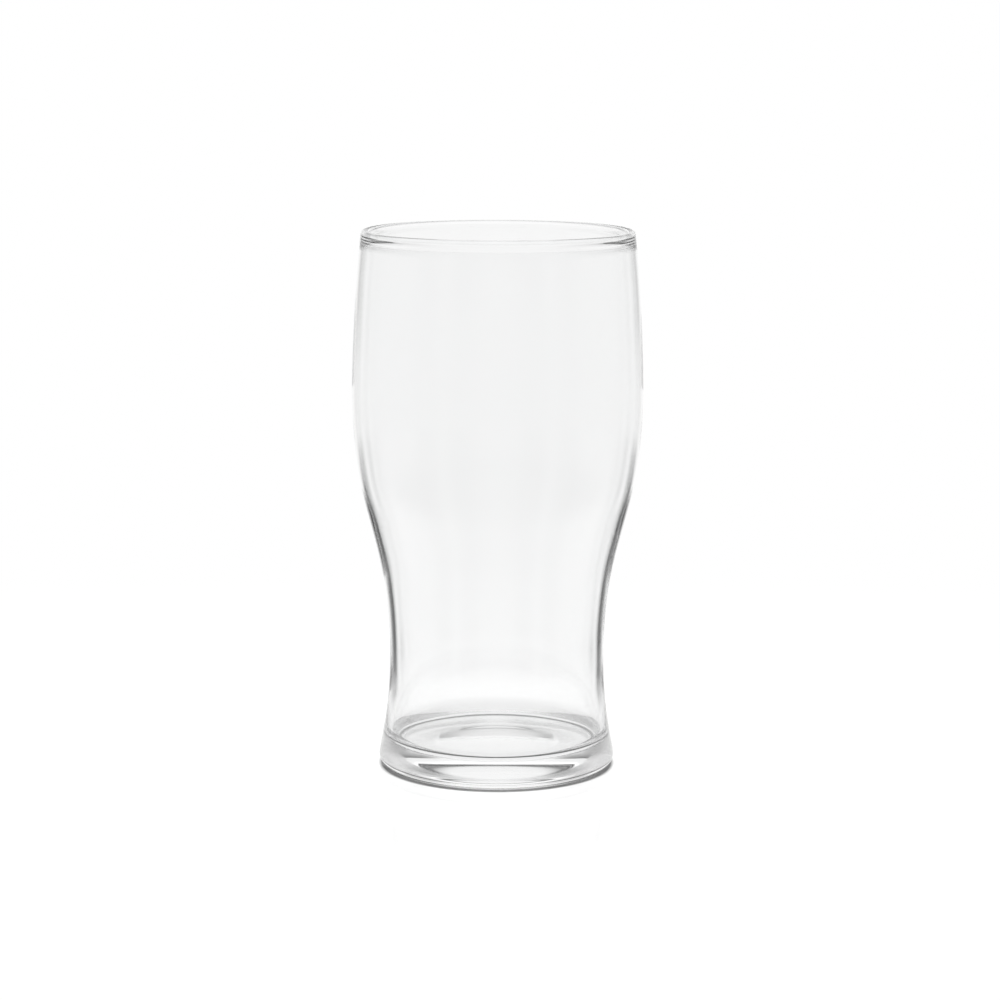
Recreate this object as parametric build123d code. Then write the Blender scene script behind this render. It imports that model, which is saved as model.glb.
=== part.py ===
"""Tulip pint glass: one lathe-shaped body of clear soda-lime glass.

Millimetres. The glass stands on z = 0 and its axis is +Z. The whole outline is drawn as
half a section, in radius and height, and turned once round the axis.
"""

import os
from math import cos, radians, sin

from build123d import *

# Overall sizes
HEIGHT = 155.0  # foot to the top of the rim bead
FOOT_RADIUS = 34.15  # widest point of the foot
WAIST_RADIUS = 30.95  # narrowest point of the outside
BELLY_RADIUS = 41.6  # widest point of the outside
RIM_RADIUS = 38.93  # outside of the rim bead

# Heights of the stations above the foot
WAIST_HEIGHT = 32.2
BELLY_HEIGHT = 109.3

# How the outside runs between the stations
FOOT_FLARE = 8.4  # degrees the wall leans out towards the foot
RIM_LEAN = 6.5  # degrees the wall leans in towards the rim
FOOT_EASE = 5.4  # reach of each curve handle, measured along the wall
WAIST_EASE_BELOW = 14.5
WAIST_EASE_ABOVE = 36.2
BELLY_EASE_BELOW = 37.6
BELLY_EASE_ABOVE = 4.0
RIM_EASE = 19.0
CAVITY_FLARE = 6.0  # degrees the inside wall leans out towards the floor
CAVITY_EASE = 7.0

# Wall
BASE_WALL = 3.6  # foot's widest radius to the cavity's corner
WAIST_WALL = 1.75
BELLY_WALL = 1.1
RIM_WALL = 1.1

# Rim bead, a fire-polished roll that is thicker than the wall under it
BEAD_DIAMETER = 2.2
BEAD_WRAP = 40.0  # degrees the roll carries on past its inner side before it joins the wall
BEAD_DROP = 5.5  # rim's top to where the wall has its own thickness
BEAD_EASE = 1.2

# Base
FLOOR_THICKNESS = 7.0  # table to the cavity's flat floor
CORNER_RADIUS = 4.0  # round between the floor and the inside wall
FOOT_ROUND = 3.0  # round at the foot's outer edge
PUNT_RADIUS = 18.0  # hollow under the base, and the inner edge of the flat standing ring
PUNT_DEPTH = 1.2


def heading(angle):
    """Unit step up a wall that leans in by this many degrees."""
    return Vector(-sin(radians(angle)), cos(radians(angle)))


def outward(angle):
    """Unit step out of a wall that leans in by this many degrees."""
    return Vector(cos(radians(angle)), sin(radians(angle)))


def wall_curve(low, low_angle, low_ease, high, high_angle, high_ease):
    """Smooth stretch of wall from one station up to the next."""
    low_handle = low + heading(low_angle) * low_ease
    high_handle = high - heading(high_angle) * high_ease
    Bezier(low, low_handle, high_handle, high)


def outside():
    """Draws the outside from the standing ring up to the bead, and returns the bead's centre."""
    edge_centre = Vector(FOOT_RADIUS - FOOT_ROUND, FOOT_ROUND)
    foot_edge = CenterArc(edge_centre, FOOT_ROUND, -90, 90 + FOOT_FLARE)
    waist = Vector(WAIST_RADIUS, WAIST_HEIGHT)
    belly = Vector(BELLY_RADIUS, BELLY_HEIGHT)
    bead_radius = BEAD_DIAMETER / 2
    rim_height = HEIGHT - bead_radius * (1 - sin(radians(RIM_LEAN)))
    rim = Vector(RIM_RADIUS, rim_height)
    wall_curve(foot_edge @ 1, FOOT_FLARE, FOOT_EASE, waist, 0, WAIST_EASE_BELOW)
    wall_curve(waist, 0, WAIST_EASE_ABOVE, belly, 0, BELLY_EASE_BELOW)
    wall_curve(belly, 0, BELLY_EASE_ABOVE, rim, RIM_LEAN, RIM_EASE)
    return rim - outward(RIM_LEAN) * bead_radius


def bead(centre):
    """Draws the rolled rim and its run into the inside wall, and returns where that ends."""
    wrap = 180 - RIM_LEAN + BEAD_WRAP
    roll = CenterArc(centre, BEAD_DIAMETER / 2, RIM_LEAN, wrap)
    outer_edge = centre + outward(RIM_LEAN) * (BEAD_DIAMETER / 2)
    drop = BEAD_DROP - (HEIGHT - outer_edge.Y)
    wall_top = outer_edge - heading(RIM_LEAN) * drop - outward(RIM_LEAN) * RIM_WALL
    down = Vector(sin(radians(BEAD_WRAP)), -cos(radians(BEAD_WRAP)))
    Bezier(
        roll @ 1,
        roll @ 1 + down * BEAD_EASE,
        wall_top + heading(RIM_LEAN) * BEAD_EASE,
        wall_top,
    )
    return wall_top


def inside(wall_top):
    """Draws the cavity's wall, corner and floor."""
    corner_x = FOOT_RADIUS - BASE_WALL - CORNER_RADIUS
    corner_y = FLOOR_THICKNESS + CORNER_RADIUS
    corner = CenterArc(Vector(corner_x, corner_y), CORNER_RADIUS, -90, 90 + CAVITY_FLARE)
    waist = Vector(WAIST_RADIUS - WAIST_WALL, WAIST_HEIGHT)
    belly = Vector(BELLY_RADIUS - BELLY_WALL, BELLY_HEIGHT)
    wall_curve(corner @ 1, CAVITY_FLARE, CAVITY_EASE, waist, 0, CAVITY_EASE)
    wall_curve(waist, 0, WAIST_EASE_ABOVE, belly, 0, BELLY_EASE_BELOW)
    wall_curve(belly, 0, BELLY_EASE_ABOVE, wall_top, RIM_LEAN, RIM_EASE)
    Line(corner @ 0, (0, FLOOR_THICKNESS))


def underside():
    """Draws the shallow dome under the base and the flat ring that the glass stands on."""
    Bezier((0, PUNT_DEPTH), (PUNT_RADIUS / 2, PUNT_DEPTH), (PUNT_RADIUS, 0))
    Line((PUNT_RADIUS, 0), (FOOT_RADIUS - FOOT_ROUND, 0))


def glass_section():
    """Half section of the glass, in radius and height."""
    with BuildSketch(Plane.XZ) as section:
        with BuildLine():
            wall_top = bead(outside())
            inside(wall_top)
            Line((0, FLOOR_THICKNESS), (0, PUNT_DEPTH))
            underside()
        make_face()
    return section.sketch


os.makedirs("parts", exist_ok=True)
export_step(revolve(glass_section(), axis=Axis.Z), "parts/glass_body.step")
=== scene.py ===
"""Tulip pint glass on a white table: the glass as a fine lathe mesh, its material and a studio.

Metres. The outline is drawn as half a section, in radius and height, from the same sizes as
the CAD model, and turned round +Z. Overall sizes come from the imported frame.
"""

from math import cos, exp, pi, radians, sin, tau

import bmesh
import bpy
from mathutils import Euler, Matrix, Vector


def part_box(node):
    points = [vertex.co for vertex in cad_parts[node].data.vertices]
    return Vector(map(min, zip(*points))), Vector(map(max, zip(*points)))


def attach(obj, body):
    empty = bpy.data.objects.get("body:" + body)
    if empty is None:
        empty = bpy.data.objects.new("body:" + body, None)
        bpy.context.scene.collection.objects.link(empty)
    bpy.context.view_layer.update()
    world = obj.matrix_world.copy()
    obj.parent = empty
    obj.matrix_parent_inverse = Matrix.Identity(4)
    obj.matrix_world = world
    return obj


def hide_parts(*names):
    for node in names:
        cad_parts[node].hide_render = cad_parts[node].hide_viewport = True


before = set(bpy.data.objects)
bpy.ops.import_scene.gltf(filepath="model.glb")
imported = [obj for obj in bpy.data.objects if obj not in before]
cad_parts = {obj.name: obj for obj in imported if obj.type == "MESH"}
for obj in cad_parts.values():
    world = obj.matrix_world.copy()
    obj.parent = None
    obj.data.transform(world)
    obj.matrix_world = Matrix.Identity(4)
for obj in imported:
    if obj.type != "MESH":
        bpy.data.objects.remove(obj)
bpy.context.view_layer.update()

MM = 0.001
glass_low, glass_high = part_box("glass_body")

# Outline, the CAD model's own sizes
HEIGHT = glass_high[2] - glass_low[2]
BELLY_RADIUS = (glass_high[0] - glass_low[0]) / 2
FOOT_RADIUS = 34.15 * MM
WAIST_RADIUS = 30.95 * MM
RIM_RADIUS = 38.93 * MM
WAIST_HEIGHT = 32.2 * MM
BELLY_HEIGHT = 109.3 * MM
FOOT_FLARE = radians(8.4)
RIM_LEAN = radians(6.5)
FOOT_EASE = 5.4 * MM
WAIST_EASE_BELOW = 14.5 * MM
WAIST_EASE_ABOVE = 36.2 * MM
BELLY_EASE_BELOW = 37.6 * MM
BELLY_EASE_ABOVE = 4.0 * MM
RIM_EASE = 19.0 * MM
CAVITY_FLARE = radians(6.0)
CAVITY_EASE = 7.0 * MM
BASE_WALL = 3.6 * MM
WAIST_WALL = 1.75 * MM
BELLY_WALL = 1.1 * MM
RIM_WALL = 1.1 * MM
BEAD_RADIUS = 1.1 * MM
BEAD_WRAP = radians(40.0)
BEAD_DROP = 5.5 * MM
BEAD_EASE = 1.2 * MM
FLOOR_THICKNESS = 7.0 * MM
CORNER_RADIUS = 4.0 * MM
FOOT_ROUND = 3.0 * MM
PUNT_RADIUS = 18.0 * MM
PUNT_DEPTH = 1.2 * MM

# Unevenness of the inside wall, in millimetres, which the CAD model doesn't have: height up
# the wall, reach up and down, swelling all round, swelling towards +X, and swelling across X
RIPPLES = (
    (80, 7.5, -0.20, 0.02, 0.02),
    (58, 8.0, 0.05, -0.02, 0.03),
    (38, 8.0, 0.02, 0.03, -0.02),
    (22, 6.0, 0.10, -0.02, 0.03),
    (124, 16.0, 0.04, -0.03, 0.03),
)

# Glass
GLASS_TINT = (0.955, 0.957, 0.957, 1)
GLASS_IOR = 1.52

# Standing ring, dulled by the tables it has stood on: metres out from the axis where that
# starts, metres up the foot where it ends, and how rough it is
RING_START = (0.0172, 0.0188)
RING_RISE = (0.0001, 0.0009)
RING_ROUGHNESS = 0.2

# Table, radii in metres: it fades out, and a painted contact shadow darkens its glow in a ring
# right under the foot's edge
TABLE_RADIUS = 0.16
TABLE_SEGMENTS = 96
TABLE_GAP = 0.0001
TABLE_FADE = (0.075, 0.125)
TABLE_GLOW = 0.93
TABLE_ROUGHNESS = 0.12
TABLE_SPECULAR = 0.2
PAINTED_SHADOW_IN = (0.0308, 0.0318)
PAINTED_SHADOW_OUT = (0.0330, 0.0348)
CONTACT_SHADE = 0.13

# Room, angles in degrees. Compass angles are from +Y, which is behind the glass. The strips
# repeat every quarter turn, mirrored, are darkest low down and are fainter from the side round
# to the front
STRIP_IN = (13, 27)
STRIP_OUT = (36, 44)
STRIP_FALL = (-14, -10)
STRIP_RISE = (-7.5, -4.5)
STRIP_LOW = 0.85
STRIP_MIDDLE = 0.12
STRIP_HIGH = 0.35
STRIP_BACK = (44, 60)
STRIP_FAINT = 0.18
# Above the horizon, a dimmer wall with a gap behind the glass, fainter in front
SIDE_IN = (13, 27)
SIDE_BACK = (90, 130)
SIDE_FAINT = 0.3
SIDE_RISE = (3, 20)
SIDE_SHADE = 0.85
# Ceiling, ground and a faint change of tone near the horizon, by angle above it
CEILING_RISE = (35, 65)
CEILING = 0.9
GROUND_RISE = (-60, -30)
GROUND = 0.7
HAZE_RISE = (-15, -9)
HAZE_LOW = 1.04
HAZE_HIGH = 0.98

# Camera and light bounces
LENS = 103.4
SENSOR = 36
NEAR = 0.01
CAMERA_PLACE = (0, -0.8147, 0.2178)
CAMERA_PITCH = 90 - 9.785
CAMERA_TURN = -0.055
CAMERA_ROLL = 0.215
BOUNCES = 32
GLOSSY_BOUNCES = 16

# Mesh fineness
SEGMENTS = 288
WALL_STEPS = 48
ARC_STEPS = 14


# ---------------------------------------------------------------- outline

def heading(angle):
    """Unit step up a wall that leans in by this angle."""
    return Vector((-sin(angle), cos(angle)))


def outward(angle):
    """Unit step out of a wall that leans in by this angle."""
    return Vector((cos(angle), sin(angle)))


def bezier(points, steps):
    """Points along a curve of two, three or four control points, without its first point."""
    line = []
    for step in range(1, steps + 1):
        t = step / steps
        row = list(points)
        while len(row) > 1:
            row = [a.lerp(b, t) for a, b in zip(row, row[1:])]
        line.append(row[0])
    return line


def arc(centre, radius, start, sweep, steps=ARC_STEPS):
    """Points round part of a circle, both ends included."""
    angles = [start + sweep * step / steps for step in range(steps + 1)]
    return [centre + Vector((cos(a), sin(a))) * radius for a in angles]


def wall(low, low_angle, low_ease, high, high_angle, high_ease):
    """Control points of a smooth stretch of wall from one station up to the next."""
    return [low, low + heading(low_angle) * low_ease,
            high - heading(high_angle) * high_ease, high]


def outside_line():
    """The outside from the standing ring to the bead, and the bead's centre."""
    edge_centre = Vector((FOOT_RADIUS - FOOT_ROUND, FOOT_ROUND))
    foot_edge = arc(edge_centre, FOOT_ROUND, -pi / 2, pi / 2 + FOOT_FLARE)
    waist = Vector((WAIST_RADIUS, WAIST_HEIGHT))
    belly = Vector((BELLY_RADIUS, BELLY_HEIGHT))
    rim = Vector((RIM_RADIUS, HEIGHT - BEAD_RADIUS * (1 - sin(RIM_LEAN))))
    line = list(foot_edge)
    line += bezier(wall(line[-1], FOOT_FLARE, FOOT_EASE, waist, 0, WAIST_EASE_BELOW), WALL_STEPS)
    line += bezier(wall(waist, 0, WAIST_EASE_ABOVE, belly, 0, BELLY_EASE_BELOW), WALL_STEPS)
    line += bezier(wall(belly, 0, BELLY_EASE_ABOVE, rim, RIM_LEAN, RIM_EASE), WALL_STEPS)
    return line, rim - outward(RIM_LEAN) * BEAD_RADIUS


def bead_line(centre):
    """The rolled rim and its run into the inside wall."""
    roll = arc(centre, BEAD_RADIUS, RIM_LEAN, pi - RIM_LEAN + BEAD_WRAP)
    drop = BEAD_DROP - (HEIGHT - roll[0].y)
    wall_top = roll[0] - heading(RIM_LEAN) * drop - outward(RIM_LEAN) * RIM_WALL
    down = Vector((sin(BEAD_WRAP), -cos(BEAD_WRAP)))
    run = [roll[-1], roll[-1] + down * BEAD_EASE, wall_top + heading(RIM_LEAN) * BEAD_EASE,
           wall_top]
    return roll[1:] + bezier(run, ARC_STEPS)


def inside_line(wall_top):
    """The cavity from the top of its wall down to the middle of the floor."""
    corner_centre = Vector((FOOT_RADIUS - BASE_WALL - CORNER_RADIUS,
                            FLOOR_THICKNESS + CORNER_RADIUS))
    corner = arc(corner_centre, CORNER_RADIUS, CAVITY_FLARE, -pi / 2 - CAVITY_FLARE)
    waist = Vector((WAIST_RADIUS - WAIST_WALL, WAIST_HEIGHT))
    belly = Vector((BELLY_RADIUS - BELLY_WALL, BELLY_HEIGHT))
    line = bezier(wall(belly, 0, BELLY_EASE_ABOVE, wall_top, RIM_LEAN, RIM_EASE)[::-1], WALL_STEPS)
    line += bezier(wall(waist, 0, WAIST_EASE_ABOVE, belly, 0, BELLY_EASE_BELOW)[::-1], WALL_STEPS)
    line += bezier(wall(corner[0], CAVITY_FLARE, CAVITY_EASE, waist, 0, CAVITY_EASE)[::-1],
                   WALL_STEPS)
    line += corner[1:]
    return line + bezier([corner[-1], Vector((0, FLOOR_THICKNESS))], ARC_STEPS)


def underside_line():
    """The hollow under the base, from its middle to the standing ring's inner edge."""
    dome = [Vector((0, PUNT_DEPTH)), Vector((PUNT_RADIUS / 2, PUNT_DEPTH)),
            Vector((PUNT_RADIUS, 0))]
    return dome[:1] + bezier(dome, ARC_STEPS)


# ---------------------------------------------------------------- mesh

def swelling(height, turn):
    """How far the inside wall stands in from its even outline, by height and angle."""
    total = 0
    for level, reach, even, side, across in RIPPLES:
        size = even + side * cos(turn) + across * cos(2 * turn)
        total += size * exp(-((height / MM - level) / reach) ** 2)
    return total * MM


def lathe(name, outline, inside_from):
    """Turns an outline that starts and ends on the axis into a closed smooth mesh."""
    mesh = bpy.data.meshes.new(name)
    work = bmesh.new()
    rings = []
    for number, point in enumerate(outline[1:-1], 1):
        ring = []
        for segment in range(SEGMENTS):
            turn = tau * segment / SEGMENTS
            reach = point.x
            if number >= inside_from and point.y > FLOOR_THICKNESS + CORNER_RADIUS:
                reach -= swelling(point.y, turn)
            ring.append(work.verts.new((reach * cos(turn), reach * sin(turn), point.y)))
        rings.append(ring)
    bottom = work.verts.new((0, 0, outline[0].y))
    top = work.verts.new((0, 0, outline[-1].y))
    for segment in range(SEGMENTS):
        after = (segment + 1) % SEGMENTS
        work.faces.new((bottom, rings[0][after], rings[0][segment]))
        for low, high in zip(rings, rings[1:]):
            work.faces.new((low[segment], low[after], high[after], high[segment]))
        work.faces.new((top, rings[-1][segment], rings[-1][after]))
    for face in work.faces:
        face.smooth = True
    work.to_mesh(mesh)
    work.free()
    piece = bpy.data.objects.new(name, mesh)
    bpy.context.collection.objects.link(piece)
    return piece


# ---------------------------------------------------------------- nodes

def math(tree, operation, *values):
    """A math node fed with numbers or sockets, and its result."""
    node = tree.nodes.new("ShaderNodeMath")
    node.operation = operation
    for socket, value in zip(node.inputs, values):
        if isinstance(value, (int, float)):
            socket.default_value = value
        else:
            tree.links.new(value, socket)
    return node.outputs[0]


def ramp(tree, value, low, high, start, end):
    """Eases from start at low to end at high."""
    node = tree.nodes.new("ShaderNodeMapRange")
    node.interpolation_type = "SMOOTHSTEP"
    tree.links.new(value, node.inputs["Value"])
    for name, number in {"From Min": low, "From Max": high, "To Min": start, "To Max": end}.items():
        node.inputs[name].default_value = number
    return node.outputs["Result"]


# ---------------------------------------------------------------- material

def clear_glass():
    """Clear soda-lime glass, polished but for the dulled standing ring."""
    material = bpy.data.materials.new("clear_glass")
    material.use_nodes = True
    tree = material.node_tree
    shader = tree.nodes["Principled BSDF"]
    shader.inputs["Base Color"].default_value = GLASS_TINT
    place = tree.nodes.new("ShaderNodeTexCoord").outputs["Object"]
    split = tree.nodes.new("ShaderNodeSeparateXYZ")
    tree.links.new(place, split.inputs[0])
    x, y, z = split.outputs
    reach = math(tree, "SQRT", math(tree, "ADD", math(tree, "MULTIPLY", x, x),
                                    math(tree, "MULTIPLY", y, y)))
    ring = math(tree, "MULTIPLY", ramp(tree, reach, *RING_START, 0, 1),
                ramp(tree, z, *RING_RISE, RING_ROUGHNESS, 0))
    tree.links.new(ring, shader.inputs["Roughness"])
    shader.inputs["IOR"].default_value = GLASS_IOR
    shader.inputs["Transmission Weight"].default_value = 1.0
    return material


# ---------------------------------------------------------------- studio

def floor():
    """Pale table top that fades into the white room, with a painted contact shadow ring under the
    foot's edge.
    """
    mesh = bpy.data.meshes.new("table")
    work = bmesh.new()
    bmesh.ops.create_circle(work, cap_ends=True, radius=TABLE_RADIUS,
                            segments=TABLE_SEGMENTS)
    bmesh.ops.translate(work, verts=work.verts, vec=(0, 0, -TABLE_GAP))
    work.to_mesh(mesh)
    work.free()
    table = bpy.data.objects.new("table", mesh)
    bpy.context.collection.objects.link(table)
    material = bpy.data.materials.new("table")
    material.use_nodes = True
    tree = material.node_tree
    shader = tree.nodes["Principled BSDF"]
    place = tree.nodes.new("ShaderNodeTexCoord").outputs["Object"]
    distance = tree.nodes.new("ShaderNodeVectorMath")
    distance.operation = "LENGTH"
    tree.links.new(place, distance.inputs[0])
    reach = distance.outputs["Value"]
    # painted contact shadow: the glow dips in a ring right under the foot's edge
    glow_with_painted_shadow = math(tree, "MAXIMUM", ramp(tree, reach, *PAINTED_SHADOW_IN, 1, CONTACT_SHADE),
                ramp(tree, reach, *PAINTED_SHADOW_OUT, 0, 1))
    tree.links.new(math(tree, "MULTIPLY", glow_with_painted_shadow, TABLE_GLOW), shader.inputs["Emission Strength"])
    tree.links.new(ramp(tree, reach, *TABLE_FADE, 1, 0), shader.inputs["Alpha"])
    shader.inputs["Base Color"].default_value = (0, 0, 0, 1)
    shader.inputs["Roughness"].default_value = TABLE_ROUGHNESS
    shader.inputs["Specular IOR Level"].default_value = TABLE_SPECULAR
    shader.inputs["Emission Color"].default_value = (1, 1, 1, 1)
    mesh.materials.append(material)


def studio():
    """White room whose dark strips draw the glass's edges; the camera itself sees plain white."""
    world = bpy.data.worlds.new("studio")
    world.use_nodes = True
    bpy.context.scene.world = world
    tree = world.node_tree
    split = tree.nodes.new("ShaderNodeSeparateXYZ")
    tree.links.new(tree.nodes.new("ShaderNodeTexCoord").outputs["Generated"], split.inputs[0])
    x, y, z = split.outputs
    rise = math(tree, "DEGREES", math(tree, "ARCSINE", z))
    turn = math(tree, "DEGREES", math(tree, "ABSOLUTE", math(tree, "ARCTAN2", x, y)))
    quarter = math(tree, "PINGPONG", turn, 90.0)
    eighth = math(tree, "PINGPONG", quarter, 45.0)
    strip = math(tree, "MULTIPLY", ramp(tree, eighth, *STRIP_IN, 0, 1),
                 ramp(tree, eighth, *STRIP_OUT, 1, 0))
    depth = math(tree, "MAXIMUM", ramp(tree, rise, *STRIP_FALL, STRIP_LOW, STRIP_MIDDLE),
                 ramp(tree, rise, *STRIP_RISE, STRIP_MIDDLE, STRIP_HIGH))
    depth = math(tree, "MULTIPLY", depth, ramp(tree, turn, *STRIP_BACK, 1, STRIP_FAINT))
    depth = math(tree, "MULTIPLY", depth, strip)
    side = math(tree, "MULTIPLY", ramp(tree, turn, *SIDE_IN, 0, 1),
                ramp(tree, turn, *SIDE_BACK, 1, SIDE_FAINT))
    side = math(tree, "MULTIPLY", side, ramp(tree, rise, *SIDE_RISE, 0, SIDE_SHADE))
    depth = math(tree, "MAXIMUM", depth, side)
    sides = math(tree, "SUBTRACT", 1.0, depth)
    ceiling = ramp(tree, rise, *CEILING_RISE, 1, CEILING)
    ground = ramp(tree, rise, *GROUND_RISE, GROUND, 1)
    haze = ramp(tree, rise, *HAZE_RISE, HAZE_LOW, HAZE_HIGH)
    room = math(tree, "MULTIPLY", math(tree, "MULTIPLY", sides, ceiling),
                math(tree, "MULTIPLY", ground, haze))
    seen = tree.nodes.new("ShaderNodeLightPath").outputs["Is Camera Ray"]
    light = math(tree, "MAXIMUM", room, seen)
    tree.links.new(light, tree.nodes["Background"].inputs["Strength"])
    tree.nodes["Background"].inputs["Color"].default_value = (1, 1, 1, 1)


def camera():
    """Camera in front of the glass, a little above it, looking slightly down."""
    lens = bpy.data.cameras.new("camera")
    lens.sensor_width = SENSOR
    lens.lens = LENS
    lens.clip_start = NEAR
    view = bpy.data.objects.new("camera", lens)
    bpy.context.collection.objects.link(view)
    view.location = CAMERA_PLACE
    aim = Euler((radians(CAMERA_PITCH), 0, radians(CAMERA_TURN)), "XYZ").to_matrix()
    roll = Euler((0, 0, radians(CAMERA_ROLL)), "XYZ").to_matrix()
    view.rotation_euler = (aim @ roll).to_euler("XYZ")
    bpy.context.scene.camera = view


def look():
    """Plain white balance and enough light bounces for glass."""
    scene = bpy.context.scene
    scene.view_settings.view_transform = "Standard"
    scene.cycles.max_bounces = BOUNCES
    scene.cycles.transmission_bounces = BOUNCES
    scene.cycles.glossy_bounces = GLOSSY_BOUNCES
    scene.cycles.caustics_refractive = True
    scene.cycles.caustics_reflective = True


outside, bead_centre = outside_line()
outline = underside_line() + outside + bead_line(bead_centre)
wall_top = len(outline)
outline += inside_line(outline[-1])
glass = lathe("glass_body_fine", outline, wall_top)
glass.data.materials.append(clear_glass())
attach(glass, "root")
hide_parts("glass_body")
floor()
studio()
camera()
look()
